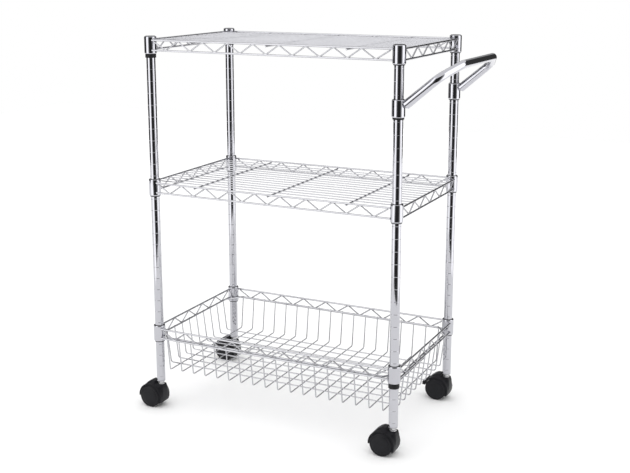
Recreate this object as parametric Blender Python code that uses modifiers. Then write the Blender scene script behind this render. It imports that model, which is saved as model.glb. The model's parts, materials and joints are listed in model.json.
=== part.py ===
"""Three-tier wire shelf cart: two flat wire shelves and a wire basket on four round posts,
a push handle and four twin-wheel casters. Metres, +Z up; the long side of the cart lies along X
and the handle is at +X. The origin is at floor level, under the centre of the overall box."""

import math

import bmesh
import bpy
from mathutils import Matrix, Vector

MM = 0.001
GAP = 0.3 * MM

# Posts and shelf levels
POST_SPAN_X = 562 * MM
POST_SPAN_Y = 322 * MM
POST_RADIUS = 9.5 * MM
POST_BORE = 8.3 * MM
POST_BOTTOM = 62 * MM
GROOVE_PITCH = 25.4 * MM
BASKET_LEVEL = 174 * MM
MIDDLE_LEVEL = BASKET_LEVEL + 13 * GROOVE_PITCH
TOP_LEVEL = MIDDLE_LEVEL + 12 * GROOVE_PITCH
HANDLE_LEVEL = TOP_LEVEL - 4 * GROOVE_PITCH
POST_TOP_DROP = 2 * MM
CAP_HEIGHT = 2.7 * MM
CAP_EDGE_HEIGHT = 1 * MM
CAP_CROWN_RADIUS = 7.5 * MM
CAP_CROWN_HEIGHT = 2.4 * MM
CAP_PLUG = 8 * MM

# Collars and the split sleeves inside them
COLLAR_RADIUS = 12.9 * MM
COLLAR_BORE = 11.7 * MM
COLLAR_HEIGHT = 36 * MM
SLEEVE_RADIUS = COLLAR_BORE - GAP
SLEEVE_BORE = POST_RADIUS + GAP
SLEEVE_RIM = 0.8 * MM
SLEEVE_TAPER = 0.3 * MM
SLEEVE_SLIT = 0.8 * MM
SLEEVE_SLIT_DEG = 10
SLEEVE_SHOWING = 2 * MM
SLEEVE_SHOWING_AT = {
    ("basket", "front_right"): 11 * MM,
    ("top", "front_left"): 8.5 * MM,
    ("handle", "front_right"): 4 * MM,
}

# Truss wires round every shelf
RAIL_RADIUS = 2.0 * MM
RAIL_SPACING = 21 * MM
TRUSS_OUT = 8.5 * MM
RAIL_END = 10.4 * MM
ZIGZAG_RADIUS = 1.5 * MM
ZIGZAG_PERIODS_X = 9
ZIGZAG_PERIODS_Y = 5
ZIGZAG_PITCH = 59.2 * MM

# Deck of a flat shelf
RIB_RADIUS = 2.0 * MM
RIB_SPACING = 176 * MM
RIB_DROP = 3.9 * MM
RIB_OVERHANG = 1 * MM
DECK_WIRE_RADIUS = 1.2 * MM
DECK_WIRES = 14
DECK_PITCH = 21.25 * MM

# Basket
BASKET_WIRE_RADIUS = 1.3 * MM
BASKET_DEPTH = 85 * MM
RIM_IN = 3.9 * MM
RIM_UP = 2.6 * MM
LEG_IN = 2.1 * MM
WALL_LEAN = 9 * MM
CROSS_WIRES = 18
CROSS_PITCH = 30.2 * MM
LONG_WIRES = 9
LONG_PITCH = 30.6 * MM
BEND_RADIUS = 6 * MM
BEND_SPREAD = 0.6 * MM

# Handle
HANDLE_RADIUS = 8.2 * MM
HANDLE_REACH = 104 * MM
HANDLE_RISE = 82 * MM
HANDLE_START_DROP = 5 * MM
HANDLE_LEAN = 3 * MM
HANDLE_BAR_HALF = 95 * MM
HANDLE_ARM_SHARE = 0.775
HANDLE_BEND = 26 * MM
HANDLE_BEND_STEPS = 4
HANDLE_ROOT = 16 * MM
HANDLE_COLLAR_HEIGHT = 34 * MM

# Casters: the swivel axis is the post's axis, and the wheels trail towards -X
WHEEL_RADIUS = 25 * MM
WHEEL_TRAIL = 19.5 * MM
WHEEL_INNER = 7.2 * MM
WHEEL_OUTER = 21.5 * MM
WHEEL_BORE = 3.2 * MM
WHEEL_FACE_RADIUS = 23 * MM
WHEEL_FACE_DROP = 1.4 * MM
WHEEL_SHOULDER_DROP = 3.2 * MM
AXLE_RADIUS = 2.9 * MM
AXLE_HALF = 16 * MM
WEB_HALF = 6.5 * MM
HOOD_HALF = 18.5 * MM
HOOD_INNER = 26 * MM
HOOD_OUTER = 29 * MM
HOOD_CROWN = 60 * MM
HOOD_SEAT = 53 * MM
# Top and front of the hood as (x, z) in millimetres: crown, recessed seat, front lip
HOOD_TOP = ((-28, 56.8), (-20, 60), (-11.3, 60), (-8.1, 53), (7.0, 53))
HOOD_FRONT = ((9.2, 49), (10.4, 42), (10.6, 33), (10.0, 24), (8.6, 16), (6.4, 11))
HOOD_ARC_STEPS = 9
HOOD_CROWN_DEG = 128
HOOD_BACK_DEG = 180
HOOD_FRONT_DEG = -28
BRAKED_HOOD_BACK_DEG = 136
WEB_RADIUS = 8 * MM
WEB_OVERLAP = 1 * MM
WEB_ARC_DEG = (190, 300)
WEB_HOOD_ARC_DEG = (0, 130)
STEM_RADIUS = 5.5 * MM
STEM_PIN_RADIUS = 4.0 * MM
STEM_BORE = 4.4 * MM
STEM_FLANGE_RADIUS = 7.5 * MM
STEM_FLANGE_HEIGHT = 2.2 * MM
STEM_TOP = 100 * MM
STEM_LOW = 31 * MM
STEM_BORE_LOW = 30 * MM
SOCKET_BORE = 5.8 * MM
SOCKET_LIP = 1.5 * MM
SOCKET_HEIGHT = 40 * MM
SOCKET_RADIUS = 9.3 * MM

# Brake lever on the two back casters
LEVER_INNER = 28.6 * MM
LEVER_OUTER = 31.8 * MM
LEVER_TOP_DEG = 140
LEVER_PAD_DEG = 158
LEVER_LOW_DEG = 174
LEVER_TIP_LOW = 28 * MM
LEVER_TIP_HEIGHT = 9 * MM
LEVER_TIP = 54.5 * MM
LEVER_HALF = 11 * MM

SEGMENTS = 12
WHEEL_SEGMENTS = 16

# Half the thickness of a four-sided wire between its flats, as a share of its radius
FLAT = math.cos(math.pi / 4)
WELD = 0.2 * MM

SIDES = {
    "front_left": (-1, -1),
    "front_right": (1, -1),
    "back_left": (-1, 1),
    "back_right": (1, 1),
}
BRAKED = ("back_left", "back_right")

# The cart's middle is set off along X so that the overall box is centred on the origin
REACH_RIGHT = POST_SPAN_X / 2 + HANDLE_REACH + HANDLE_RADIUS * math.cos(math.pi / 8)
REACH_LEFT = POST_SPAN_X / 2 + LEVER_TIP
CENTRE_X = (REACH_LEFT - REACH_RIGHT) / 2

# name: base colour, metallic, roughness
FINISHES = {
    "chrome": ((0.78, 0.78, 0.80), 1.0, 0.12),
    "black_plastic": ((0.02, 0.02, 0.022), 0.0, 0.45),
    "grey_plastic": ((0.10, 0.10, 0.11), 0.0, 0.5),
    "steel": ((0.62, 0.62, 0.64), 1.0, 0.3),
}


def clear_scene():
    for obj in list(bpy.data.objects):
        bpy.data.objects.remove(obj, do_unlink=True)


def make_collection(name):
    collection = bpy.data.collections.new(name)
    bpy.context.scene.collection.children.link(collection)
    return collection


def make_material(name, finish):
    colour, metallic, roughness = FINISHES[finish]
    material = bpy.data.materials.new(name)
    material.use_nodes = True
    shader = material.node_tree.nodes["Principled BSDF"]
    shader.inputs["Base Color"].default_value = (*colour, 1.0)
    shader.inputs["Metallic"].default_value = metallic
    shader.inputs["Roughness"].default_value = roughness
    return material


def post_centre(side):
    sx, sy = SIDES[side]
    return Vector((CENTRE_X + sx * POST_SPAN_X / 2, sy * POST_SPAN_Y / 2, 0))


def add_object(name, mesh, collection, finish, location=(0, 0, 0)):
    obj = bpy.data.objects.new(name, mesh)
    obj.location = location
    collection.objects.link(obj)
    mesh.materials.clear()
    mesh.materials.append(make_material(name, finish))
    mesh.shade_smooth()
    mesh.set_sharp_from_angle(angle=math.radians(40))
    return obj


def evaluated_mesh(obj, weld=True):
    """The object's mesh with its modifiers or bevel applied; weld joins a curve's loose caps."""
    bpy.context.view_layer.update()
    graph = bpy.context.evaluated_depsgraph_get()
    mesh = bpy.data.meshes.new_from_object(obj.evaluated_get(graph))
    mesh.transform(obj.matrix_world)
    bpy.data.objects.remove(obj, do_unlink=True)
    if not weld:
        return mesh
    work = bmesh.new()
    work.from_mesh(mesh)
    bmesh.ops.remove_doubles(work, verts=work.verts, dist=1e-6)
    work.to_mesh(mesh)
    work.free()
    return mesh


def turned_mesh(profile, segments=SEGMENTS, closed=False):
    """A profile of (radius, height) points, top to bottom down its outer side, turned about Z."""
    mesh = bpy.data.meshes.new("profile")
    points = [(radius, 0, height) for radius, height in profile]
    edges = [(i, i + 1) for i in range(len(points) - 1)]
    if closed:
        edges.append((len(points) - 1, 0))
    mesh.from_pydata(points, edges, [])
    obj = bpy.data.objects.new("profile", mesh)
    bpy.context.scene.collection.objects.link(obj)
    screw = obj.modifiers.new("turn", "SCREW")
    screw.steps = segments
    screw.render_steps = segments
    screw.use_merge_vertices = True
    screw.merge_threshold = 0.00001
    return evaluated_mesh(obj)


def ring_mesh(outer, bore, low, high, segments=SEGMENTS):
    return turned_mesh([(outer, high), (outer, low), (bore, low), (bore, high)], segments, closed=True)


def wire_mesh(points, radius, sides=4, closed=False, twist="Z_UP"):
    """A wire along straight runs between points; four sides lie flat side up."""
    curve = bpy.data.curves.new("wire", "CURVE")
    curve.dimensions = "3D"
    curve.twist_mode = twist
    curve.bevel_depth = radius
    curve.bevel_resolution = (sides - 4) // 2
    curve.use_fill_caps = True
    spline = curve.splines.new("POLY")
    spline.points.add(len(points) - 1)
    for control, point in zip(spline.points, points):
        control.co = (*point, 1)
        control.tilt = math.pi / sides
    spline.use_cyclic_u = closed
    obj = bpy.data.objects.new("wire", curve)
    bpy.context.scene.collection.objects.link(obj)
    return evaluated_mesh(obj)


def outline_mesh(points, half_width):
    """A flat outline of (x, z) points, extruded along Y by half_width each way."""
    curve = bpy.data.curves.new("outline", "CURVE")
    curve.dimensions = "2D"
    curve.fill_mode = "BOTH"
    curve.extrude = half_width
    spline = curve.splines.new("POLY")
    spline.points.add(len(points) - 1)
    for control, (x, z) in zip(spline.points, points):
        control.co = (x, z, 0, 1)
    spline.use_cyclic_u = True
    obj = bpy.data.objects.new("outline", curve)
    obj.rotation_euler = (math.pi / 2, 0, 0)
    bpy.context.scene.collection.objects.link(obj)
    return evaluated_mesh(obj)


def moved(mesh, offset):
    copy = mesh.copy()
    copy.transform(Matrix.Translation(offset))
    return copy


def boolean_mesh(base, other, operation, solver="EXACT"):
    """One closed body made from two closed bodies."""
    first = bpy.data.objects.new("base", base)
    second = bpy.data.objects.new("other", other)
    for obj in (first, second):
        bpy.context.scene.collection.objects.link(obj)
    step = first.modifiers.new(operation.lower(), "BOOLEAN")
    step.operation = operation
    step.solver = solver
    step.object = second
    mesh = evaluated_mesh(first, weld=False)
    bpy.data.objects.remove(second, do_unlink=True)
    return mesh


def welded_together(meshes):
    """The union of many crossing wires and rings, taken one after another."""
    whole = meshes[0]
    for mesh in meshes[1:]:
        whole = boolean_mesh(whole, mesh, "UNION", "MANIFOLD")
    return whole


def arc(centre, radius, start_deg, end_deg, steps):
    """Points (x, z) on a circle about centre, the start and end included."""
    points = []
    for i in range(steps + 1):
        angle = math.radians(start_deg + (end_deg - start_deg) * i / steps)
        points.append((centre[0] + radius * math.cos(angle), centre[1] + radius * math.sin(angle)))
    return points


def zigzag_points(periods, half_rail):
    """(distance along the rail, height) of a bent wire that starts and ends part of the way up."""
    reach = RAIL_SPACING / 2
    points = []
    for i in range(-periods, periods + 1):
        along = i * ZIGZAG_PITCH / 2
        is_valley = (i + periods + 1) % 2 == 0
        points.append((along, -reach if is_valley else reach))
    first, last = points[0], points[-1]
    points[0] = (max(first[0], -half_rail), first[1] - RAIL_RADIUS)
    points[-1] = (min(last[0], half_rail), last[1] - RAIL_RADIUS)
    return points


def truss_wires(level):
    """Upper and lower rails with a zigzag wire between them, on all four sides."""
    wires = []
    layout = (
        (POST_SPAN_X, POST_SPAN_Y, ZIGZAG_PERIODS_X, lambda along, out, z: (CENTRE_X + along, out, z)),
        (POST_SPAN_Y, POST_SPAN_X, ZIGZAG_PERIODS_Y, lambda along, out, z: (CENTRE_X + out, along, z)),
    )
    for span, other_span, periods, place in layout:
        half = span / 2 - RAIL_END
        for sign in (-1, 1):
            out = sign * (other_span / 2 + TRUSS_OUT)
            for height in (-RAIL_SPACING / 2, RAIL_SPACING / 2):
                ends = [place(along, out, level + height) for along in (-half, half)]
                wires.append(wire_mesh(ends, RAIL_RADIUS))
            bends = [place(along, out, level + z) for along, z in zigzag_points(periods, half)]
            wires.append(wire_mesh(bends, ZIGZAG_RADIUS))
    return wires


def collar_rings(level, height=COLLAR_HEIGHT, sides=SIDES):
    ring = ring_mesh(COLLAR_RADIUS, COLLAR_BORE, -height / 2, height / 2)
    return [moved(ring, post_centre(side) + Vector((0, 0, level))) for side in sides]


def deck_wires(level):
    """Cross ribs under the front and back rails, and thin lengthwise wires lying on the ribs."""
    wires = []
    rail = level + RAIL_SPACING / 2
    rib_z = rail - RIB_DROP
    rib_half = POST_SPAN_Y / 2 + TRUSS_OUT + RIB_OVERHANG
    for i in (-1, 0, 1):
        x = CENTRE_X + i * RIB_SPACING
        wires.append(wire_mesh([(x, -rib_half, rib_z), (x, rib_half, rib_z)], RIB_RADIUS))
    deck_half = POST_SPAN_X / 2 + TRUSS_OUT - FLAT * RAIL_RADIUS + 2 * WELD
    deck_z = rib_z + FLAT * (RIB_RADIUS + DECK_WIRE_RADIUS) - WELD
    for i in range(DECK_WIRES):
        y = (i - (DECK_WIRES - 1) / 2) * DECK_PITCH
        ends = [(CENTRE_X - deck_half, y, deck_z), (CENTRE_X + deck_half, y, deck_z)]
        wires.append(wire_mesh(ends, DECK_WIRE_RADIUS))
    return wires


def u_profile(half_top, top, floor):
    """(across, height) of a wire that comes down one wall, crosses the floor and goes up the other."""
    half_floor = half_top - WALL_LEAN
    side = [
        (half_top, top),
        (half_top, top - RIM_UP - 2 * RAIL_RADIUS),
        (half_floor + BEND_SPREAD, floor + BEND_RADIUS),
        (half_floor - BEND_RADIUS, floor),
    ]
    return side + [(-across, z) for across, z in reversed(side)]


def basket_wires(level):
    wires = []
    lower_rail = level - RAIL_SPACING / 2
    rim_z = lower_rail + RIM_UP
    half_x = POST_SPAN_X / 2 + TRUSS_OUT
    half_y = POST_SPAN_Y / 2 + TRUSS_OUT
    rim_x = half_x - RIM_IN
    rim_y = half_y - RIM_IN
    clip_x = (CROSS_WIRES - 1) / 2 * CROSS_PITCH + 2 * BASKET_WIRE_RADIUS
    clip_y = (LONG_WIRES - 1) / 2 * LONG_PITCH + 2 * BASKET_WIRE_RADIUS
    corner = [(rim_x, clip_y), (clip_x, rim_y)]
    rim = corner + [(-x, y) for x, y in reversed(corner)]
    rim += [(-x, -y) for x, y in corner] + [(x, -y) for x, y in reversed(corner)]
    wires.append(wire_mesh([(CENTRE_X + x, y, rim_z) for x, y in rim], RAIL_RADIUS, closed=True))
    top = rim_z + RAIL_RADIUS
    floor = level - BASKET_DEPTH
    for i in range(CROSS_WIRES):
        x = CENTRE_X + (i - (CROSS_WIRES - 1) / 2) * CROSS_PITCH
        points = [(x, y, z) for y, z in u_profile(half_y - LEG_IN, top, floor)]
        wires.append(wire_mesh(points, BASKET_WIRE_RADIUS, twist="MINIMUM"))
    for i in range(LONG_WIRES):
        y = (i - (LONG_WIRES - 1) / 2) * LONG_PITCH
        profile = u_profile(half_x - LEG_IN, top, floor + 2 * FLAT * BASKET_WIRE_RADIUS - WELD)
        points = [(CENTRE_X + x, y, z) for x, z in profile]
        wires.append(wire_mesh(points, BASKET_WIRE_RADIUS, twist="MINIMUM"))
    return wires


def add_shelf(name, level, extra_wires, collection):
    mesh = welded_together(truss_wires(level) + extra_wires(level) + collar_rings(level))
    add_object(name, mesh, collection, "chrome")


def filleted(corners, radius, steps):
    """The path through corners, with every inner corner replaced by points on an arc."""
    path = [corners[0]]
    for before, corner, after in zip(corners, corners[1:], corners[2:]):
        into = (corner - before).normalized()
        out = (after - corner).normalized()
        turn = into.angle(out)
        start = corner - into * radius * math.tan(turn / 2)
        side = (out - into * out.dot(into)).normalized()
        centre = start + side * radius
        axis = into.cross(out).normalized()
        for i in range(steps + 1):
            path.append(centre + Matrix.Rotation(turn * i / steps, 3, axis) @ (start - centre))
    path.append(corners[-1])
    return path


def handle_path():
    """Axis of the bent tube: up the front arm, across a cut corner to the bar, and back down."""
    clamp = post_centre("front_right") + Vector((0, 0, HANDLE_LEVEL - HANDLE_START_DROP))
    rise = HANDLE_RISE + HANDLE_START_DROP
    knee = clamp + Vector((HANDLE_REACH, 0, rise)) * HANDLE_ARM_SHARE + Vector((0, HANDLE_LEAN, 0))
    bar_end = clamp + Vector((HANDLE_REACH, POST_SPAN_Y / 2 - HANDLE_BAR_HALF, rise))
    root = clamp + (knee - clamp) * HANDLE_ROOT / (knee.x - clamp.x)
    front = [root, knee, bar_end]
    back = [Vector((p.x, -p.y, p.z)) for p in reversed(front)]
    return filleted(front + back, HANDLE_BEND, HANDLE_BEND_STEPS)


def add_handle(collection):
    tube = wire_mesh(handle_path(), HANDLE_RADIUS, sides=8)
    clamped = [side for side in SIDES if side.endswith("right")]
    collars = collar_rings(HANDLE_LEVEL, HANDLE_COLLAR_HEIGHT, clamped)
    add_object("push_handle", welded_together([tube] + collars), collection, "chrome")


def add_posts(collection):
    top = TOP_LEVEL + COLLAR_HEIGHT / 2 - POST_TOP_DROP
    post = ring_mesh(POST_RADIUS, POST_BORE, POST_BOTTOM, top)
    edge = top + GAP
    cap = turned_mesh(
        [
            (0, edge + CAP_HEIGHT),
            (CAP_CROWN_RADIUS, edge + CAP_CROWN_HEIGHT),
            (POST_RADIUS, edge + CAP_EDGE_HEIGHT),
            (POST_RADIUS, edge),
            (POST_BORE - GAP, edge),
            (POST_BORE - GAP, edge - CAP_PLUG),
            (0, edge - CAP_PLUG),
        ]
    )
    for side in SIDES:
        add_object(f"post_{side}", post.copy(), collection, "chrome", post_centre(side))
        add_object(f"post_cap_{side}", cap.copy(), collection, "chrome", post_centre(side))


def sleeve_mesh(low, high):
    """A slightly tapered sleeve, slit down one side."""
    ring = turned_mesh(
        [
            (SLEEVE_RADIUS - SLEEVE_TAPER, high),
            (SLEEVE_RADIUS, low),
            (SLEEVE_BORE, low),
            (SLEEVE_BORE, high),
        ],
        closed=True,
    )
    slit = bpy.data.meshes.new("slit")
    work = bmesh.new()
    size = Matrix.Diagonal((SLEEVE_RADIUS, SLEEVE_SLIT, 2 * (high - low), 1))
    bmesh.ops.create_cube(work, size=1, matrix=size)
    work.to_mesh(slit)
    work.free()
    turn = Matrix.Rotation(math.radians(SLEEVE_SLIT_DEG), 4, "Z")
    slit.transform(turn @ Matrix.Translation((-SLEEVE_RADIUS, 0, 0)))
    return boolean_mesh(ring, slit, "DIFFERENCE")


def add_sleeves(collection):
    levels = {"top": TOP_LEVEL, "middle": MIDDLE_LEVEL, "basket": BASKET_LEVEL, "handle": HANDLE_LEVEL}
    for shelf, level in levels.items():
        half = (HANDLE_COLLAR_HEIGHT if shelf == "handle" else COLLAR_HEIGHT) / 2
        for side in SIDES:
            if shelf == "handle" and not side.endswith("right"):
                continue
            showing = SLEEVE_SHOWING_AT.get((shelf, side), SLEEVE_SHOWING)
            mesh = sleeve_mesh(-half - showing, half + SLEEVE_RIM)
            place = post_centre(side) + Vector((0, 0, level))
            add_object(f"{shelf}_sleeve_{side}", mesh, collection, "black_plastic", place)


def hood_outline(back_deg):
    """Cover over the wheels, seen from the side, with the axle's height and the swivel axis at x = 0."""
    axle = (-WHEEL_TRAIL, WHEEL_RADIUS)
    inner = arc(axle, HOOD_INNER, HOOD_FRONT_DEG, back_deg, HOOD_ARC_STEPS)
    back_steps = 1 if back_deg == BRAKED_HOOD_BACK_DEG else 3
    outer = arc(axle, HOOD_OUTER, back_deg, HOOD_CROWN_DEG, back_steps)
    outer += [(x * MM, z * MM) for x, z in HOOD_TOP + HOOD_FRONT]
    return inner + outer


def web_outline():
    """Plate between the two wheels: it carries the axle and the bore for the stem."""
    axle = (-WHEEL_TRAIL, WHEEL_RADIUS)
    points = arc(axle, WEB_RADIUS, *WEB_ARC_DEG, 4)
    points += arc(axle, HOOD_INNER + WEB_OVERLAP, *WEB_HOOD_ARC_DEG, 8)
    return points


def pin_mesh(radius, low, high):
    return turned_mesh([(0, high), (radius, high), (radius, low), (0, low)])


def add_hood(side, collection):
    back_deg = BRAKED_HOOD_BACK_DEG if side in BRAKED else HOOD_BACK_DEG
    cover = outline_mesh(hood_outline(back_deg), HOOD_HALF)
    web = outline_mesh(web_outline(), WEB_HALF)
    mesh = boolean_mesh(cover, web, "UNION")
    mesh = boolean_mesh(mesh, pin_mesh(STEM_BORE, STEM_BORE_LOW, HOOD_CROWN), "DIFFERENCE")
    axle_hole = pin_mesh(WHEEL_BORE, -AXLE_HALF, AXLE_HALF)
    axle_hole.transform(Matrix.Rotation(math.pi / 2, 4, "X"))
    mesh = boolean_mesh(mesh, moved(axle_hole, (-WHEEL_TRAIL, 0, WHEEL_RADIUS)), "DIFFERENCE")
    add_object(f"caster_hood_{side}", mesh, collection, "black_plastic", post_centre(side))


def add_axle(side, collection):
    mesh = pin_mesh(AXLE_RADIUS, -AXLE_HALF, AXLE_HALF)
    mesh.transform(Matrix.Rotation(math.pi / 2, 4, "X"))
    place = post_centre(side) + Vector((-WHEEL_TRAIL, 0, WHEEL_RADIUS))
    add_object(f"caster_axle_{side}", mesh, collection, "steel", place)


def add_wheels(side, collection):
    """Two cupped wheels with domed outer faces, one on each side of the web."""
    mesh = turned_mesh(
        [
            (0, WHEEL_OUTER),
            (WHEEL_FACE_RADIUS, WHEEL_OUTER - WHEEL_FACE_DROP),
            (WHEEL_RADIUS, WHEEL_OUTER - WHEEL_SHOULDER_DROP),
            (WHEEL_RADIUS, WHEEL_INNER),
            (WHEEL_BORE, WHEEL_INNER),
            (WHEEL_BORE, AXLE_HALF + GAP),
            (0, AXLE_HALF + GAP),
        ],
        WHEEL_SEGMENTS,
    )
    place = post_centre(side) + Vector((-WHEEL_TRAIL, 0, WHEEL_RADIUS))
    for label, turn in (("a", 1), ("b", -1)):
        wheel = mesh.copy()
        wheel.transform(Matrix.Rotation(turn * math.pi / 2, 4, "X"))
        add_object(f"wheel_{side}_{label}", wheel, collection, "black_plastic", place)


def add_stem(side, collection):
    seat = HOOD_SEAT + GAP
    stem = turned_mesh(
        [
            (0, STEM_TOP),
            (STEM_RADIUS, STEM_TOP),
            (STEM_RADIUS, seat + STEM_FLANGE_HEIGHT),
            (STEM_FLANGE_RADIUS, seat + STEM_FLANGE_HEIGHT),
            (STEM_FLANGE_RADIUS, seat),
            (STEM_PIN_RADIUS, seat),
            (STEM_PIN_RADIUS, STEM_LOW),
            (0, STEM_LOW),
        ]
    )
    add_object(f"caster_stem_{side}", stem, collection, "steel", post_centre(side))
    lip = POST_BOTTOM - GAP
    socket = turned_mesh(
        [
            (POST_BORE - GAP, lip + SOCKET_HEIGHT),
            (POST_BORE - GAP, lip),
            (SOCKET_RADIUS, lip),
            (SOCKET_RADIUS, lip - SOCKET_LIP),
            (SOCKET_BORE, lip - SOCKET_LIP),
            (SOCKET_BORE, lip + SOCKET_HEIGHT),
        ],
        closed=True,
    )
    add_object(f"stem_socket_{side}", socket, collection, "grey_plastic", post_centre(side))


def add_brake_lever(side, collection):
    """A pedal curved over the back of the wheels, hinged at its upper end."""
    axle = (-WHEEL_TRAIL, WHEEL_RADIUS)
    hinge = arc(axle, (LEVER_INNER + LEVER_OUTER) / 2, LEVER_TOP_DEG, LEVER_TOP_DEG, 1)[0]
    points = arc(axle, LEVER_INNER, LEVER_TOP_DEG, LEVER_LOW_DEG, 3)
    points.append((-LEVER_TIP, LEVER_TIP_LOW))
    points.append((-LEVER_TIP, LEVER_TIP_LOW + LEVER_TIP_HEIGHT))
    points += arc(axle, LEVER_OUTER, LEVER_PAD_DEG, LEVER_TOP_DEG, 2)
    local = [(x - hinge[0], z - hinge[1]) for x, z in points]
    mesh = outline_mesh(local, LEVER_HALF)
    place = post_centre(side) + Vector((hinge[0], 0, hinge[1]))
    add_object(f"brake_lever_{side}", mesh, collection, "black_plastic", place)


def main():
    clear_scene()
    cart = make_collection("wire_shelf_cart")
    add_posts(cart)
    add_shelf("top_shelf", TOP_LEVEL, deck_wires, cart)
    add_shelf("middle_shelf", MIDDLE_LEVEL, deck_wires, cart)
    add_shelf("basket_shelf", BASKET_LEVEL, basket_wires, cart)
    add_handle(cart)
    add_sleeves(cart)
    for side in SIDES:
        add_stem(side, cart)
        add_hood(side, cart)
        add_axle(side, cart)
        add_wheels(side, cart)
    for side in BRAKED:
        add_brake_lever(side, cart)


main()
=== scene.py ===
"""Looks of the wire shelf cart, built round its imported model."""

import json
import math

import bpy
from mathutils import Euler, Matrix, Vector


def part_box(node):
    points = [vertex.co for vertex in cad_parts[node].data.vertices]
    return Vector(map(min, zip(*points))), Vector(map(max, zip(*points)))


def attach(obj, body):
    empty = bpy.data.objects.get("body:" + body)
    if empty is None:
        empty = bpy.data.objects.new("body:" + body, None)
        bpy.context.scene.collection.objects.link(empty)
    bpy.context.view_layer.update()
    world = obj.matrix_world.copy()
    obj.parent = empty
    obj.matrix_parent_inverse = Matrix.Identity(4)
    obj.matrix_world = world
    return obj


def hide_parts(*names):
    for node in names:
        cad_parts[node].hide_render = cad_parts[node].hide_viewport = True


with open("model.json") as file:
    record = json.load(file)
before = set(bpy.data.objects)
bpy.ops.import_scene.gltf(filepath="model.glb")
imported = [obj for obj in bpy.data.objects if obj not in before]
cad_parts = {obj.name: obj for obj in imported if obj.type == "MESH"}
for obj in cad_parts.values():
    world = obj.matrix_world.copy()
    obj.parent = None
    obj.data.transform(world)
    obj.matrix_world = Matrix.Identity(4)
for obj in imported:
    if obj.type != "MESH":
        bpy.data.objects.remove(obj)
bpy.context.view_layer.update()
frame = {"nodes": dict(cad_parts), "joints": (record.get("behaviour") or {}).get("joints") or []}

MM = 0.001
SIDES = ("front_left", "front_right", "back_left", "back_right")
HANDLE_SIDES = ("front_right", "back_right")
BRAKED = ("back_left", "back_right")

# ---------------------------------------------------------------- places taken from the frame

joints = {joint["name"]: joint for joint in frame["joints"]}
post_at = {side: Vector((*joints["swivel_" + side]["pos_m"][:2], 0)) for side in SIDES}
wheel_at = {side: Vector(joints[f"wheel_{side}_a_spin"]["pos_m"]) for side in SIDES}
centre_x = (post_at["front_left"].x + post_at["front_right"].x) / 2
half_span_x = (post_at["front_right"].x - post_at["front_left"].x) / 2
half_span_y = (post_at["back_left"].y - post_at["front_left"].y) / 2

COLLAR_HEIGHT = 36 * MM
level_of = {
    name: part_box(name + "_shelf")[1].z - COLLAR_HEIGHT / 2 for name in ("top", "middle", "basket")
}
GROOVE_PITCH = 25.4 * MM
HANDLE_LEVEL = level_of["top"] - 4 * GROOVE_PITCH
POST_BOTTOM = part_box("post_front_left")[0].z

# ---------------------------------------------------------------- sizes of the fine shapes

POST_RADIUS = 9.5 * MM
POST_BORE = 8.3 * MM
POST_TOP_DROP = 2 * MM
GROOVE_DEPTH = 0.16 * MM
GROOVE_HALF = 0.7 * MM
GROOVE_EDGE = 0.25 * MM
COLLAR_RADIUS = 12.9 * MM
COLLAR_ROUND = 2.6 * MM
COLLAR_BORE = 11.7 * MM
SLEEVE_BORE = 9.9 * MM
HANDLE_COLLAR_HEIGHT = 34 * MM
RAIL_RADIUS = 2.0 * MM
RAIL_SPACING = 21 * MM
TRUSS_OUT = 8.5 * MM
RAIL_END = 9.2 * MM
ZIGZAG_RADIUS = 1.5 * MM
ZIGZAG_PITCH = 59.2 * MM
ZIGZAG_BEND = 5 * MM
RIB_RADIUS = 2.0 * MM
RIB_SPACING = 176 * MM
RIB_DROP = 3.9 * MM
DECK_WIRE_RADIUS = 1.2 * MM
DECK_WIRES = 14
DECK_PITCH = 21.25 * MM
BASKET_WIRE_RADIUS = 1.3 * MM
BASKET_DEPTH = 85 * MM
RIM_IN = 3.9 * MM
RIM_UP = 2.6 * MM
LEG_IN = 2.1 * MM
WALL_LEAN = 9 * MM
CROSS_WIRES = 18
CROSS_PITCH = 30.2 * MM
LONG_WIRES = 9
LONG_PITCH = 30.6 * MM
BASKET_BEND = 5.5 * MM
HANDLE_RADIUS = 8.1 * MM
HANDLE_ROOT_RADIUS = 9.0 * MM
HANDLE_REACH = 103.4 * MM
HANDLE_RISE = 82 * MM
HANDLE_START_DROP = 5 * MM
HANDLE_LEAN = 3 * MM
HANDLE_BAR_HALF = 95 * MM
HANDLE_ARM_SHARE = 0.775
HANDLE_ROOT = 13 * MM
HANDLE_BEND = 26 * MM

AXLE_X = -19.5 * MM
AXLE_Z = 25 * MM
HOOD_HALF = 18.5 * MM
HOOD_INNER = 25.7 * MM
HOOD_OUTER = 29 * MM
HOOD_FLAT_HALF = 8 * MM
HOOD_EDGE = 1.6 * MM
# Top and front of the hood as (x, z) in millimetres: back of the crown, recessed seat, front lip
HOOD_TOP = (
    (-29, 55.8), (-21, 59.9), (-11.4, 59.9), (-8.3, 53), (7.4, 53),
    (9.8, 45), (10.5, 36), (10.2, 27), (9.0, 18), (6.4, 11),
)
HOOD_BACK_DEG = 184
BRAKED_HOOD_BACK_DEG = 136
WEB_HALF = 6.5 * MM
WEB_BOSS_RADIUS = 8 * MM
LEVER_HALF = 11 * MM
LEVER_EDGE = 1.0 * MM
STEM_SEAT = 53.3 * MM
STEM_RADIUS = 5.5 * MM
STEM_FLANGE_RADIUS = 7.4 * MM
STEM_PIN_RADIUS = 4.0 * MM
SOCKET_BORE = 5.8 * MM
SOCKET_LIP_RADIUS = 9.3 * MM


# ---------------------------------------------------------------- materials


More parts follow.
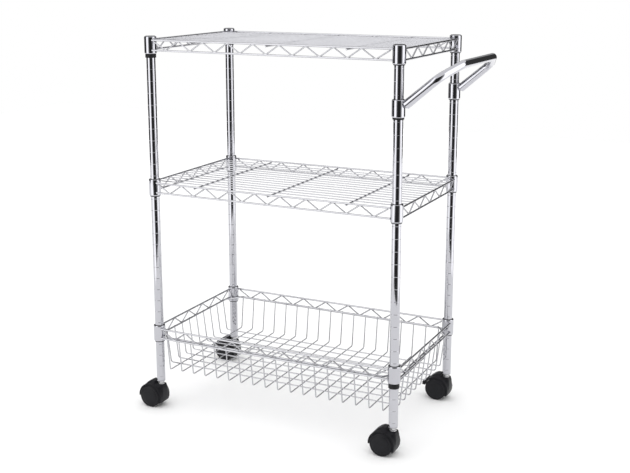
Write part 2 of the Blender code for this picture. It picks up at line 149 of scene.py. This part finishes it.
class Nodes:
    """Short calls for building one material's node tree."""

    def __init__(self, name):
        self.material = bpy.data.materials.new(name)
        self.material.use_nodes = True
        self.tree = self.material.node_tree
        self.shader = self.tree.nodes["Principled BSDF"]

    def add(self, kind, **settings):
        node = self.tree.nodes.new(kind)
        for key, value in settings.items():
            if key in node.inputs:
                node.inputs[key].default_value = value
            else:
                setattr(node, key, value)
        return node

    def link(self, source, output, target, target_input):
        self.tree.links.new(source.outputs[output], target.inputs[target_input])

    def ramp(self, source, output, low, high, low_value, high_value):
        """Maps a texture's value range to two grey values or colours."""
        ramp = self.add("ShaderNodeValToRGB")
        ramp.color_ramp.elements[0].position = low
        ramp.color_ramp.elements[1].position = high
        ramp.color_ramp.elements[0].color = low_value
        ramp.color_ramp.elements[1].color = high_value
        self.link(source, output, ramp, "Fac")
        return ramp


def grey(value):
    return (value, value, value, 1)


def chrome_material(name, colour, roughness, speck=0.0):
    """Plated steel: a faint orange-peel ripple, uneven polish and thin grey smears."""
    made = Nodes(name)
    shader = made.shader
    shader.inputs["Metallic"].default_value = 1
    place = made.add("ShaderNodeTexCoord")
    polish = made.add("ShaderNodeTexNoise", Scale=60.0, Detail=4.0, Roughness=0.6)
    made.link(place, "Object", polish, "Vector")
    ramp = made.ramp(polish, "Fac", 0.35, 0.75, grey(roughness * 0.7), grey(roughness * 1.5 + speck))
    made.link(ramp, "Color", shader, "Roughness")
    smear = made.add("ShaderNodeTexNoise", Scale=18.0, Detail=3.0)
    made.link(place, "Object", smear, "Vector")
    tint = made.ramp(
        smear, "Fac", 0.3, 0.8, (*[c * 0.93 for c in colour], 1), (*colour, 1)
    )
    made.link(tint, "Color", shader, "Base Color")
    ripple = made.add("ShaderNodeTexNoise", Scale=900.0, Detail=2.0)
    made.link(place, "Object", ripple, "Vector")
    bump = made.add("ShaderNodeBump", Strength=0.03, Distance=0.0002)
    made.link(ripple, "Fac", bump, "Height")
    made.link(bump, "Normal", shader, "Normal")
    return made.material


def plastic_material(name, colour, roughness, grain=0.15, shine=0.25):
    """Moulded plastic: fine grain, faint flow marks and duller, dustier patches."""
    made = Nodes(name)
    shader = made.shader
    shader.inputs["Specular IOR Level"].default_value = shine
    place = made.add("ShaderNodeTexCoord")
    dust = made.add("ShaderNodeTexNoise", Scale=40.0, Detail=5.0, Roughness=0.65)
    made.link(place, "Object", dust, "Vector")
    tint = made.ramp(
        dust, "Fac", 0.35, 0.8, (*colour, 1), (*[c * 1.5 + 0.004 for c in colour], 1)
    )
    made.link(tint, "Color", shader, "Base Color")
    dull = made.ramp(dust, "Fac", 0.3, 0.8, grey(roughness * 0.85), grey(roughness * 1.25))
    made.link(dull, "Color", shader, "Roughness")
    texture = made.add("ShaderNodeTexNoise", Scale=1400.0, Detail=3.0)
    made.link(place, "Object", texture, "Vector")
    bump = made.add("ShaderNodeBump", Strength=grain, Distance=0.0002)
    made.link(texture, "Fac", bump, "Height")
    made.link(bump, "Normal", shader, "Normal")
    return made.material


CHROME = chrome_material("chrome_wire", (0.5, 0.5, 0.525), 0.17)
POST_CHROME = chrome_material("chrome_post", (0.53, 0.53, 0.565), 0.06)
TUBE_CHROME = chrome_material("chrome_tube", (0.56, 0.56, 0.60), 0.04)
STEEL = chrome_material("zinc_steel", (0.62, 0.62, 0.63), 0.22, 0.05)
BLACK = plastic_material("black_plastic", (0.008, 0.008, 0.009), 0.45, shine=0.2)
HOOD_BLACK = plastic_material("hood_plastic", (0.006, 0.006, 0.008), 0.4, 0.1, 0.16)
WHEEL_BLACK = plastic_material("wheel_plastic", (0.007, 0.007, 0.009), 0.4, 0.1, 0.18)
CAP_GREY = plastic_material("cap_plastic", (0.05, 0.05, 0.055), 0.4)
SOCKET_GREY = plastic_material("socket_plastic", (0.35, 0.35, 0.37), 0.4)

# ---------------------------------------------------------------- shapes


class Shape:
    """Gathers vertices and faces, and becomes one named piece."""

    def __init__(self):
        self.points = []
        self.faces = []

    def rings(self, rings, closed_along=False, caps=True):
        """Joins rings of equal count with quads; the last ring joins the first if closed_along."""
        start = len(self.points)
        count = len(rings[0])
        for ring in rings:
            self.points.extend(ring)
        last = len(rings) if closed_along else len(rings) - 1
        for i in range(last):
            a = start + i * count
            b = start + ((i + 1) % len(rings)) * count
            for j in range(count):
                k = (j + 1) % count
                self.faces.append((a + j, a + k, b + k, b + j))
        if caps and not closed_along:
            self.faces.append([start + j for j in reversed(range(count))])
            self.faces.append([start + (len(rings) - 1) * count + j for j in range(count)])

    def tube(self, path, radius, sides=12, closed=False, shares=None):
        """A round wire along a path, with softly rounded ends; shares scale its radius at each point."""
        path = [Vector(p) for p in path]
        count = len(path)
        tangents = []
        for i in range(count):
            before = path[i - 1] if i or closed else path[0]
            after = path[(i + 1) % count] if i < count - 1 or closed else path[i]
            if i == 0 and not closed:
                tangents.append((path[1] - path[0]).normalized())
            elif i == count - 1 and not closed:
                tangents.append((path[-1] - path[-2]).normalized())
            else:
                into = (path[i] - before).normalized()
                out = (after - path[i]).normalized()
                tangents.append((into + out).normalized())
        across = tangents[0].orthogonal().normalized()
        rings = []
        stations = list(zip(path, tangents, shares or [1.0] * count))
        if not closed:
            edge = 0.3 * radius
            first, last = stations[0], stations[-1]
            stations[0] = (first[0] + edge * first[1], first[1], first[2])
            stations[-1] = (last[0] - edge * last[1], last[1], last[2])
            stations.insert(0, (first[0], first[1], 0.72 * first[2]))
            stations.append((last[0], last[1], 0.72 * last[2]))
        previous = tangents[0]
        for point, tangent, share in stations:
            turn = previous.rotation_difference(tangent)
            across = turn @ across
            across = (across - tangent * across.dot(tangent)).normalized()
            up = tangent.cross(across)
            ring = []
            for j in range(sides):
                angle = 2 * math.pi * j / sides
                ring.append(point + share * radius * (across * math.cos(angle) + up * math.sin(angle)))
            rings.append(ring)
            previous = tangent
        self.rings(rings, closed_along=closed)

    def turned(self, profile, centre, segments=48, closed=False, basis=None):
        """A profile of (radius, height) points turned about an axis through centre."""
        rings = []
        basis = basis or Matrix.Identity(3)
        for radius, height in profile:
            ring = []
            for j in range(segments):
                angle = 2 * math.pi * j / segments
                local = Vector((radius * math.cos(angle), radius * math.sin(angle), height))
                ring.append(Vector(centre) + basis @ local)
            rings.append(ring)
        self.rings(rings, closed_along=closed, caps=not closed)

    def prism(self, outline, centre, half, edge, steps=3):
        """A closed outline of (x, z) points, extruded along Y with rounded edges."""
        count = len(outline)
        points = [Vector(p) for p in outline]
        normals = []
        for i in range(count):
            along = points[(i + 1) % count] - points[i - 1]
            normals.append(Vector((along.y, -along.x)).normalized())
        area = sum(a.x * b.y - b.x * a.y for a, b in zip(points, points[1:] + points[:1]))
        outward = 1 if area > 0 else -1
        rings = []
        for end in (-1, 1):
            for i in range(steps + 1):
                share = i / steps if end < 0 else 1 - i / steps
                angle = math.pi / 2 * share
                inset = edge * (1 - math.sin(angle))
                y = end * (half - edge * (1 - math.cos(angle)))
                ring = []
                for point, normal in zip(points, normals):
                    flat = point - outward * inset * normal
                    ring.append(Vector(centre) + Vector((flat.x, y, flat.y)))
                rings.append(ring)
        self.rings(rings)

    def piece(self, name, body, material, slot, replaces=(), sharp_deg=38):
        mesh = bpy.data.meshes.new(name)
        mesh.from_pydata(self.points, [], self.faces)
        mesh.validate()
        mesh.shade_smooth()
        mesh.set_sharp_from_angle(angle=math.radians(sharp_deg))
        mesh.materials.append(material)
        obj = bpy.data.objects.new(name, mesh)
        bpy.context.scene.collection.objects.link(obj)
        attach(obj, body)
        if replaces:
            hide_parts(*replaces)
        return obj


def rounded(path, radius, steps=5, closed=False):
    """The same path with each inner corner turned into an arc."""
    path = [Vector(p) for p in path]
    count = len(path)
    made = [] if closed else [path[0]]
    span = range(count) if closed else range(1, count - 1)
    for i in span:
        corner = path[i]
        back = path[i - 1] - corner
        on = path[(i + 1) % count] - corner
        half = back.angle(on) / 2
        if half > math.radians(89):
            made.append(corner)
            continue
        reach = min(radius / math.tan(half), 0.48 * back.length, 0.48 * on.length)
        start = corner + reach * back.normalized()
        end = corner + reach * on.normalized()
        middle = (back.normalized() + on.normalized()).normalized()
        arc_radius = reach * math.tan(half)
        centre = corner + middle * (arc_radius / math.sin(half))
        sweep = (start - centre).angle(end - centre)
        axis = (start - centre).cross(end - centre).normalized()
        for step in range(steps + 1):
            turn = Matrix.Rotation(sweep * step / steps, 3, axis)
            made.append(centre + turn @ (start - centre))
    if not closed:
        made.append(path[-1])
    return made


# ---------------------------------------------------------------- posts


def groove_profile(z):
    """(radius, height) points down one shallow ring groove."""
    inner = POST_RADIUS - GROOVE_DEPTH
    return [
        (POST_RADIUS, z + GROOVE_HALF + GROOVE_EDGE),
        (POST_RADIUS, z + GROOVE_HALF),
        (POST_RADIUS - 0.7 * GROOVE_DEPTH, z + 0.5 * GROOVE_HALF),
        (inner, z + 0.2 * GROOVE_HALF),
        (inner, z - 0.2 * GROOVE_HALF),
        (POST_RADIUS - 0.7 * GROOVE_DEPTH, z - 0.5 * GROOVE_HALF),
        (POST_RADIUS, z - GROOVE_HALF),
        (POST_RADIUS, z - GROOVE_HALF - GROOVE_EDGE),
    ]


def build_post(side):
    top = level_of["top"] + COLLAR_HEIGHT / 2 - POST_TOP_DROP
    profile = [(POST_BORE, top), (POST_RADIUS - 0.4 * MM, top), (POST_RADIUS, top - 0.4 * MM)]
    z = level_of["top"] - GROOVE_PITCH
    while z > POST_BOTTOM + 6 * MM:
        profile += groove_profile(z)
        z -= GROOVE_PITCH
    profile.append((POST_RADIUS, POST_BOTTOM + 0.8 * MM))
    profile.append((POST_RADIUS, POST_BOTTOM + 0.5 * MM))
    profile += [(POST_RADIUS - 0.5 * MM, POST_BOTTOM), (POST_BORE, POST_BOTTOM)]
    shape = Shape()
    shape.turned(profile, post_at[side], closed=True)
    shape.piece("grooved_post_" + side, "cart", POST_CHROME, "post_chrome", ["post_" + side])


def build_cap(side):
    low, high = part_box("post_cap_" + side)
    radius = (high.x - low.x) / 2
    top = high.z
    profile = [(radius - 2 * MM, low.z)]
    profile += [(radius - 1.4 * MM, low.z), (radius - 1.4 * MM, top - 2.6 * MM)]
    profile += [(radius, top - 2.2 * MM), (radius, top - 1.4 * MM), (radius - 0.8 * MM, top - 0.7 * MM)]
    profile += [(radius * 0.6, top - 0.25 * MM), (radius * 0.25, top - 0.05 * MM), (radius * 0.02, top)]
    shape = Shape()
    shape.turned(profile, post_at[side], segments=40)
    shape.piece("domed_cap_" + side, "cart", CAP_GREY, "cap_plastic", ["post_cap_" + side])


def edge_collar(shape, centre, half):
    """A stamped ring with rounded shoulders at both ends."""
    outer = []
    steps = 6
    for i in range(steps + 1):
        angle = math.pi / 2 * i / steps
        outer.append((COLLAR_RADIUS - COLLAR_ROUND * (1 - math.sin(angle)) * 0.45,
                      half - COLLAR_ROUND * (1 - math.cos(angle))))
    lower = [(r, -z) for r, z in reversed(outer)]
    profile = [(COLLAR_BORE, half - 1.0 * MM), (COLLAR_BORE + 0.25 * MM, half - 0.2 * MM)]
    profile += outer + lower
    profile += [(COLLAR_BORE + 0.25 * MM, -half + 0.2 * MM), (COLLAR_BORE, -half + 1.0 * MM)]
    shape.turned(profile, centre, segments=48, closed=True)


def build_sleeve(node, side, collar_low):
    """One split sleeve: narrower where it hides in the collar, with a lip below it."""
    low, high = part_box(node)
    radius = (high.x - low.x) / 2
    profile = [(SLEEVE_BORE, high.z), (radius - 0.9 * MM, high.z), (radius - 0.3 * MM, high.z - 0.6 * MM)]
    profile += [(radius - 0.3 * MM, collar_low + 0.5 * MM), (radius - 0.1 * MM, collar_low - 0.3 * MM)]
    profile += [(radius, low.z + 0.9 * MM), (radius - 0.2 * MM, low.z + 0.25 * MM)]
    profile += [(radius - 0.7 * MM, low.z), (SLEEVE_BORE, low.z)]
    shape = Shape()
    shape.turned(profile, post_at[side], segments=40, closed=True)
    name = node.replace("_sleeve_", "_split_sleeve_")
    shape.piece(name, "cart", BLACK, "sleeve_plastic", [node])


def build_sleeves():
    collar_lows = {name: level - COLLAR_HEIGHT / 2 for name, level in level_of.items()}
    collar_lows["handle"] = HANDLE_LEVEL - HANDLE_COLLAR_HEIGHT / 2
    for name, collar_low in collar_lows.items():
        for side in SIDES:
            node = f"{name}_sleeve_{side}"
            if node in frame["nodes"]:
                build_sleeve(node, side, collar_low)


# ---------------------------------------------------------------- shelves


def zigzag(periods, half_rail):
    """(along, height) corners of the bent truss wire; its ends stop part of the way up."""
    reach = RAIL_SPACING / 2 - 0.6 * MM
    points = []
    for i in range(-periods, periods + 1):
        along = i * ZIGZAG_PITCH / 2
        is_valley = (i + periods + 1) % 2 == 0
        points.append((along, -reach if is_valley else reach))
    points[0] = (max(points[0][0], -half_rail), points[0][1] - RAIL_RADIUS)
    points[-1] = (min(points[-1][0], half_rail), points[-1][1] - RAIL_RADIUS)
    return points


def truss(rails, bends, level):
    layout = (
        (half_span_x, half_span_y, 9, lambda along, out, z: (centre_x + along, out, z)),
        (half_span_y, half_span_x, 5, lambda along, out, z: (centre_x + out, along, z)),
    )
    for half_span, other_half, periods, place in layout:
        half = half_span - RAIL_END
        for sign in (-1, 1):
            out = sign * (other_half + TRUSS_OUT)
            for height in (-RAIL_SPACING / 2, RAIL_SPACING / 2):
                rails.tube([place(along, out, level + height) for along in (-half, half)], RAIL_RADIUS, 14)
            corners = [place(along, out, level + z) for along, z in zigzag(periods, half)]
            bends.tube(rounded(corners, ZIGZAG_BEND, 4), ZIGZAG_RADIUS, 10)


def build_collars(name, level, replaces):
    shape = Shape()
    for side in SIDES:
        edge_collar(shape, post_at[side] + Vector((0, 0, level)), COLLAR_HEIGHT / 2)
    shape.piece(name, "cart", POST_CHROME, "shelf_chrome", replaces)


def build_flat_shelf(name):
    level = level_of[name]
    build_collars(name + "_collars", level, [name + "_shelf"])
    rails, bends = Shape(), Shape()
    truss(rails, bends, level)
    rails.piece(name + "_rails", "cart", CHROME, "shelf_chrome")
    bends.piece(name + "_truss_bends", "cart", CHROME, "shelf_chrome")
    rib_z = level + RAIL_SPACING / 2 - RIB_DROP
    half = half_span_y + TRUSS_OUT + 1 * MM
    ribs = Shape()
    for i in (-1, 0, 1):
        x = centre_x + i * RIB_SPACING
        ribs.tube([(x, -half, rib_z), (x, half, rib_z)], RIB_RADIUS, 14)
    ribs.piece(name + "_ribs", "cart", CHROME, "shelf_chrome")
    deck = Shape()
    deck_half = half_span_x + TRUSS_OUT - 0.8 * MM
    deck_z = rib_z + RIB_RADIUS + DECK_WIRE_RADIUS - 0.3 * MM
    for i in range(DECK_WIRES):
        y = (i - (DECK_WIRES - 1) / 2) * DECK_PITCH
        deck.tube([(centre_x - deck_half, y, deck_z), (centre_x + deck_half, y, deck_z)],
                  DECK_WIRE_RADIUS, 12)
    deck.piece(name + "_deck_wires", "cart", CHROME, "shelf_chrome")


def u_profile(half_top, top, floor):
    half_floor = half_top - WALL_LEAN
    side = [
        (half_top, top),
        (half_top, top - RIM_UP - 2 * RAIL_RADIUS),
        (half_floor, floor),
    ]
    return side + [(-across, z) for across, z in reversed(side)]


def build_basket():
    level = level_of["basket"]
    build_collars("basket_collars", level, ["basket_shelf"])
    rails, bends = Shape(), Shape()
    truss(rails, bends, level)
    rails.piece("basket_rails", "cart", CHROME, "shelf_chrome")
    bends.piece("basket_truss_bends", "cart", CHROME, "shelf_chrome")
    rim_z = level - RAIL_SPACING / 2 + RIM_UP
    half_x = half_span_x + TRUSS_OUT
    half_y = half_span_y + TRUSS_OUT
    rim_x, rim_y = half_x - RIM_IN, half_y - RIM_IN
    clip_x = (CROSS_WIRES - 1) / 2 * CROSS_PITCH + 2 * BASKET_WIRE_RADIUS
    clip_y = (LONG_WIRES - 1) / 2 * LONG_PITCH + 2 * BASKET_WIRE_RADIUS
    corner = [(rim_x, clip_y), (clip_x, rim_y)]
    outline = corner + [(-x, y) for x, y in reversed(corner)]
    outline += [(-x, -y) for x, y in corner] + [(x, -y) for x, y in reversed(corner)]
    rim = Shape()
    path = rounded([(centre_x + x, y, rim_z) for x, y in outline], 9 * MM, 5, closed=True)
    rim.tube(path, RAIL_RADIUS, 14, closed=True)
    rim.piece("basket_rim_wire", "cart", CHROME, "shelf_chrome")
    top = rim_z + RAIL_RADIUS
    floor = level - BASKET_DEPTH
    cross = Shape()
    for i in range(CROSS_WIRES):
        x = centre_x + (i - (CROSS_WIRES - 1) / 2) * CROSS_PITCH
        corners = [(x, y, z) for y, z in u_profile(half_y - LEG_IN, top, floor)]
        cross.tube(rounded(corners, BASKET_BEND, 6), BASKET_WIRE_RADIUS, 12)
    cross.piece("basket_cross_wires", "cart", CHROME, "shelf_chrome")
    lengthwise = Shape()
    upper_floor = floor + 1.85 * BASKET_WIRE_RADIUS
    for i in range(LONG_WIRES):
        y = (i - (LONG_WIRES - 1) / 2) * LONG_PITCH
        corners = [(centre_x + x, y, z) for x, z in u_profile(half_x - LEG_IN, top, upper_floor)]
        lengthwise.tube(rounded(corners, BASKET_BEND, 6), BASKET_WIRE_RADIUS, 12)
    lengthwise.piece("basket_long_wires", "cart", CHROME, "shelf_chrome")


# ---------------------------------------------------------------- handle


def handle_path():
    """Axis of the tube: up the front arm, across a cut corner to the bar, and back down."""
    clamp = post_at["front_right"] + Vector((0, 0, HANDLE_LEVEL - HANDLE_START_DROP))
    rise = HANDLE_RISE + HANDLE_START_DROP
    knee = clamp + Vector((HANDLE_REACH, 0, rise)) * HANDLE_ARM_SHARE + Vector((0, HANDLE_LEAN, 0))
    bar_end = clamp + Vector((HANDLE_REACH, half_span_y - HANDLE_BAR_HALF, rise))
    root = clamp + (knee - clamp) * HANDLE_ROOT / (knee.x - clamp.x)
    front = [root, root.lerp(knee, 0.3), root.lerp(knee, 0.6), knee, bar_end]
    return rounded(front + [Vector((p.x, -p.y, p.z)) for p in reversed(front)], HANDLE_BEND, 12)


def build_handle():
    path = handle_path()
    reach = path[0].x + 0.72 * HANDLE_REACH
    shares = []
    for point in path:
        left = max(0.0, min(1.0, (reach - point.x) / (reach - path[0].x)))
        shares.append(1 + (HANDLE_ROOT_RADIUS / HANDLE_RADIUS - 1) * left)
    shape = Shape()
    shape.tube(path, HANDLE_RADIUS, 32, shares=shares)
    shape.piece("handle_tube", "cart", TUBE_CHROME, "handle_chrome", ["push_handle"])
    collars = Shape()
    for side in HANDLE_SIDES:
        edge_collar(collars, post_at[side] + Vector((0, 0, HANDLE_LEVEL)), HANDLE_COLLAR_HEIGHT / 2)
    collars.piece("handle_collars", "cart", POST_CHROME, "handle_chrome")


# ---------------------------------------------------------------- casters


def arc(radius, start_deg, end_deg, steps):
    """Points (x, z) round the axle, relative to the swivel axis at floor level."""
    points = []
    for i in range(steps + 1):
        angle = math.radians(start_deg + (end_deg - start_deg) * i / steps)
        points.append((AXLE_X + radius * math.cos(angle), AXLE_Z + radius * math.sin(angle)))
    return points


def hood_sections():
    """(y, how far the crown shows, depth below the outer skin) from one rim of the hood to the other."""
    half = []
    for i in range(7):
        y = HOOD_FLAT_HALF * i / 6
        half.append((y, 1.0, 0.0))
    for i in range(1, 9):
        y = HOOD_FLAT_HALF + (HOOD_HALF - HOOD_EDGE - HOOD_FLAT_HALF) * i / 8
        half.append((y, 0.5 + 0.5 * math.cos(math.pi * i / 8), 0.0))
    for i in range(1, 5):
        angle = math.pi / 2 * i / 4
        half.append((HOOD_HALF - HOOD_EDGE * (1 - math.sin(angle)), 0.0, HOOD_EDGE * (1 - math.cos(angle))))
    return [(-y, show, deep) for y, show, deep in reversed(half[1:])] + half


def build_hood(side):
    """A rounded cover with a crown and a recessed seat in the middle, and the web between the wheels."""
    back_deg = BRAKED_HOOD_BACK_DEG if side in BRAKED else HOOD_BACK_DEG
    corners = arc(HOOD_OUTER, back_deg, 126, 8 if side in BRAKED else 18)
    corners += [(x * MM, z * MM) for x, z in HOOD_TOP]
    outline = rounded([(x, 0, z) for x, z in corners], 2.2 * MM, 4)
    axle = Vector((AXLE_X, 0, AXLE_Z))
    place = post_at[side]
    rings = []
    for point in outline:
        spoke = point - axle
        crown = spoke.length - HOOD_OUTER
        spoke.normalize()
        ring = []
        for y, show, deep in hood_sections():
            radius = HOOD_OUTER + crown * show - deep
            ring.append(place + axle + spoke * radius + Vector((0, y, 0)))
        for y in (HOOD_HALF, -HOOD_HALF):
            ring.append(place + axle + spoke * HOOD_INNER + Vector((0, y, 0)))
        rings.append(ring)
    shape = Shape()
    shape.rings(rings)
    web = arc(WEB_BOSS_RADIUS, 190, 300, 6) + arc(HOOD_INNER + 1 * MM, 0, 130, 14)
    shape.prism(web, place, WEB_HALF, 0.5 * MM)
    shape.piece("fine_hood_" + side, "caster_" + side, HOOD_BLACK, "hood_plastic", ["caster_hood_" + side])


def build_wheels(side):
    """A dished hub cap inside a rounded rim."""
    profile = [(0.1, 21.5), (8, 21.4), (14, 21.15), (18.6, 20.75), (19.4, 20.3), (19.8, 20.0), (20.3, 20.25)]
    profile += [(22.0, 20.3), (23.2, 20.0), (24.2, 19.3), (24.8, 18.4), (25.0, 17.4), (25.0, 8.2)]
    profile += [(24.6, 7.5), (24.0, 7.2), (3.2, 7.2)]
    for letter, turn in (("a", 1), ("b", -1)):
        shape = Shape()
        basis = Matrix.Rotation(turn * math.pi / 2, 3, "X")
        scaled = [(radius * MM, height * MM) for radius, height in profile]
        shape.turned(scaled, wheel_at[side], segments=56, basis=basis)
        name = f"wheel_{side}_{letter}"
        shape.piece("fine_" + name, name, WHEEL_BLACK, "wheel_rubber", [name], sharp_deg=30)


def build_lever(side):
    """The brake pedal: a strip over the back of the wheels that ends in a stepped tab."""
    outline = arc(28.6 * MM, 140, 174, 8)
    outline += [(-52.2 * MM, 28.6 * MM), (-53.6 * MM, 28.2 * MM), (-54.3 * MM, 29.2 * MM)]
    outline += [(-54.3 * MM, 35.6 * MM), (-53.4 * MM, 36.8 * MM), (-50.6 * MM, 37.2 * MM)]
    outline += arc(31.6 * MM, 156, 140, 5)
    shape = Shape()
    shape.prism(outline, post_at[side], LEVER_HALF, LEVER_EDGE)
    name = "brake_lever_" + side
    shape.piece("fine_" + name, name, HOOD_BLACK, "lever_plastic", [name])


def build_stem(side):
    """The swivel stem: a long pin in the post, a flange on the hood's seat and a short pin below it."""
    low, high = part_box("caster_stem_" + side)
    seat = STEM_SEAT
    profile = [(0.1 * MM, high.z), (STEM_RADIUS - 0.5 * MM, high.z), (STEM_RADIUS, high.z - 0.5 * MM)]
    profile += [(STEM_RADIUS, seat + 2.4 * MM), (6.9 * MM, seat + 2.2 * MM)]
    profile += [(STEM_FLANGE_RADIUS, seat + 1.7 * MM), (STEM_FLANGE_RADIUS, seat + 0.4 * MM)]
    profile += [(7.0 * MM, seat), (STEM_PIN_RADIUS, seat)]
    profile += [(STEM_PIN_RADIUS, low.z + 0.6 * MM), (STEM_PIN_RADIUS - 0.6 * MM, low.z), (0.1 * MM, low.z)]
    stem = Shape()
    stem.turned(profile, post_at[side])
    stem.piece("turned_stem_" + side, "cart", STEEL, "stem_steel", ["caster_stem_" + side])


def build_axle(side):
    low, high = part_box("caster_axle_" + side)
    radius = (high.z - low.z) / 2
    ends = [(wheel_at[side].x, y, wheel_at[side].z) for y in (low.y, high.y)]
    axle = Shape()
    axle.tube(ends, radius, 24)
    axle.piece("round_axle_" + side, "caster_" + side, STEEL, "axle_steel", ["caster_axle_" + side])


def build_socket(side):
    """The plug in the post's lower end, with a lip that shows below the tube."""
    low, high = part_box("stem_socket_" + side)
    profile = [(SOCKET_BORE, high.z), (7.6 * MM, high.z), (8.0 * MM, high.z - 0.6 * MM)]
    profile += [(8.0 * MM, low.z + 1.5 * MM), (SOCKET_LIP_RADIUS, low.z + 1.4 * MM)]
    profile += [(SOCKET_LIP_RADIUS, low.z + 0.4 * MM), (8.9 * MM, low.z), (SOCKET_BORE, low.z)]
    socket = Shape()
    socket.turned(profile, post_at[side], segments=40, closed=True)
    socket.piece("lipped_socket_" + side, "cart", SOCKET_GREY, "socket_plastic", ["stem_socket_" + side])


# ---------------------------------------------------------------- stage

CAMERA_BEARING_DEG = -63.75
SWEEP_RADIUS = 1.3
CARD_RADIUS = 4.0
CARD_LIFT = 0.5 * MM
FLOOR_HALF = 4.0
# Card name, from and to bearing in degrees, strength, height in degrees, start of its floor strip
CARDS = (
    ("front_dark", -22, 32, 0.03, 40, SWEEP_RADIUS),
    ("front_left_soft", -30, -22, 0.25, 42, SWEEP_RADIUS),
    ("front_left_dim", -38, -30, 0.6, 45, SWEEP_RADIUS),
    ("front_right_soft", 32, 42, 0.25, 42, SWEEP_RADIUS),
    ("front_right_dim", 42, 52, 0.6, 45, SWEEP_RADIUS),
    ("right_softbox", 52, 97, 1.9, 55, SWEEP_RADIUS),
    ("right_gap", 97, 150, 0.05, 40, 3.4),
    ("back_dim", 150, 232, 0.35, 32, 3.95),
    ("left_gap", -128, -75, 0.05, 40, 3.4),
    ("left_softbox", -75, -38, 1.9, 55, SWEEP_RADIUS),
)
# The camera stands at this offset from the cart's middle, over the top shelf's level
CAMERA_OFFSET = Vector((1.0235, -2.0207, 0.1608))
CAMERA_TILT_DEG = 12.15
CAMERA_TURN_DEG = 26.29
CAMERA_LENS_MM = 60.6
CAMERA_SHIFT = -0.066


def build_stage():
    made = Nodes("pale_floor")
    made.shader.inputs["Roughness"].default_value = 0.9
    place = made.add("ShaderNodeTexCoord")
    mottle = made.add("ShaderNodeTexNoise", Scale=3.0, Detail=2.0)
    made.link(place, "Object", mottle, "Vector")
    tint = made.ramp(mottle, "Fac", 0.3, 0.7, grey(0.89), grey(0.91))
    made.link(tint, "Color", made.shader, "Base Color")
    mesh = bpy.data.meshes.new("floor")
    corners = [(-1, -1), (1, -1), (1, 1), (-1, 1)]
    mesh.from_pydata([(x * FLOOR_HALF, y * FLOOR_HALF, 0) for x, y in corners], [], [(0, 1, 2, 3)])
    mesh.materials.append(made.material)
    floor = bpy.data.objects.new("floor", mesh)
    bpy.context.scene.collection.objects.link(floor)


def reflector(name, from_deg, to_deg, strength, elevation_deg, inner):
    """A card seen only in reflections: along the floor from the edge of the sweep, then upright.
    Its bearings are counted from the camera's side of the cart, positive towards the handle end."""
    steps = max(2, int(abs(to_deg - from_deg) / 6))
    height = CARD_RADIUS * math.tan(math.radians(elevation_deg))
    outline = [(inner, CARD_LIFT), (CARD_RADIUS, CARD_LIFT), (CARD_RADIUS, height)]
    points, faces = [], []
    for i in range(steps + 1):
        bearing = math.radians(CAMERA_BEARING_DEG + from_deg + (to_deg - from_deg) * i / steps)
        for radius, z in outline:
            points.append((radius * math.cos(bearing), radius * math.sin(bearing), z))
    for i in range(steps):
        for j in range(len(outline) - 1):
            a = i * len(outline) + j
            b = a + len(outline)
            faces.append((a, a + 1, b + 1, b))
    mesh = bpy.data.meshes.new(name)
    mesh.from_pydata(points, [], faces)
    material = bpy.data.materials.new(name)
    material.use_nodes = True
    tree = material.node_tree
    tree.nodes.remove(tree.nodes["Principled BSDF"])
    glow = tree.nodes.new("ShaderNodeEmission")
    glow.inputs["Color"].default_value = (1, 1, 1, 1)
    glow.inputs["Strength"].default_value = strength
    tree.links.new(glow.outputs[0], tree.nodes["Material Output"].inputs["Surface"])
    mesh.materials.append(material)
    card = bpy.data.objects.new(name, mesh)
    bpy.context.scene.collection.objects.link(card)
    card.visible_camera = False
    card.visible_diffuse = False
    card.visible_shadow = False
    card.visible_transmission = False


def build_light():
    world = bpy.data.worlds.new("studio")
    bpy.context.scene.world = world
    world.use_nodes = True
    background = world.node_tree.nodes["Background"]
    background.inputs["Color"].default_value = (1, 1, 1, 1)
    background.inputs["Strength"].default_value = 1.0
    for card in CARDS:
        reflector(*card)
    lamp = bpy.data.lights.new("overhead_light", "SUN")
    lamp.angle = math.radians(70)
    lamp.energy = 1.0
    light = bpy.data.objects.new("overhead_light", lamp)
    light.rotation_euler = Euler((math.radians(12), math.radians(-8), 0))
    light.visible_glossy = False
    bpy.context.scene.collection.objects.link(light)


def build_camera():
    data = bpy.data.cameras.new("camera")
    data.sensor_width = 36
    data.lens = CAMERA_LENS_MM
    data.shift_y = CAMERA_SHIFT
    camera = bpy.data.objects.new("camera", data)
    camera.location = Vector((centre_x, 0, level_of["top"])) + CAMERA_OFFSET
    camera.rotation_euler = Euler((math.radians(90 - CAMERA_TILT_DEG), 0, math.radians(CAMERA_TURN_DEG)))
    bpy.context.scene.collection.objects.link(camera)
    bpy.context.scene.camera = camera


for side in SIDES:
    build_post(side)
    build_cap(side)
build_sleeves()
build_flat_shelf("top")
build_flat_shelf("middle")
build_basket()
build_handle()
for side in SIDES:
    build_hood(side)
    build_wheels(side)
    build_stem(side)
    build_axle(side)
    build_socket(side)
for side in BRAKED:
    build_lever(side)
build_stage()
build_light()
build_camera()
bpy.context.scene.view_settings.view_transform = "Standard"
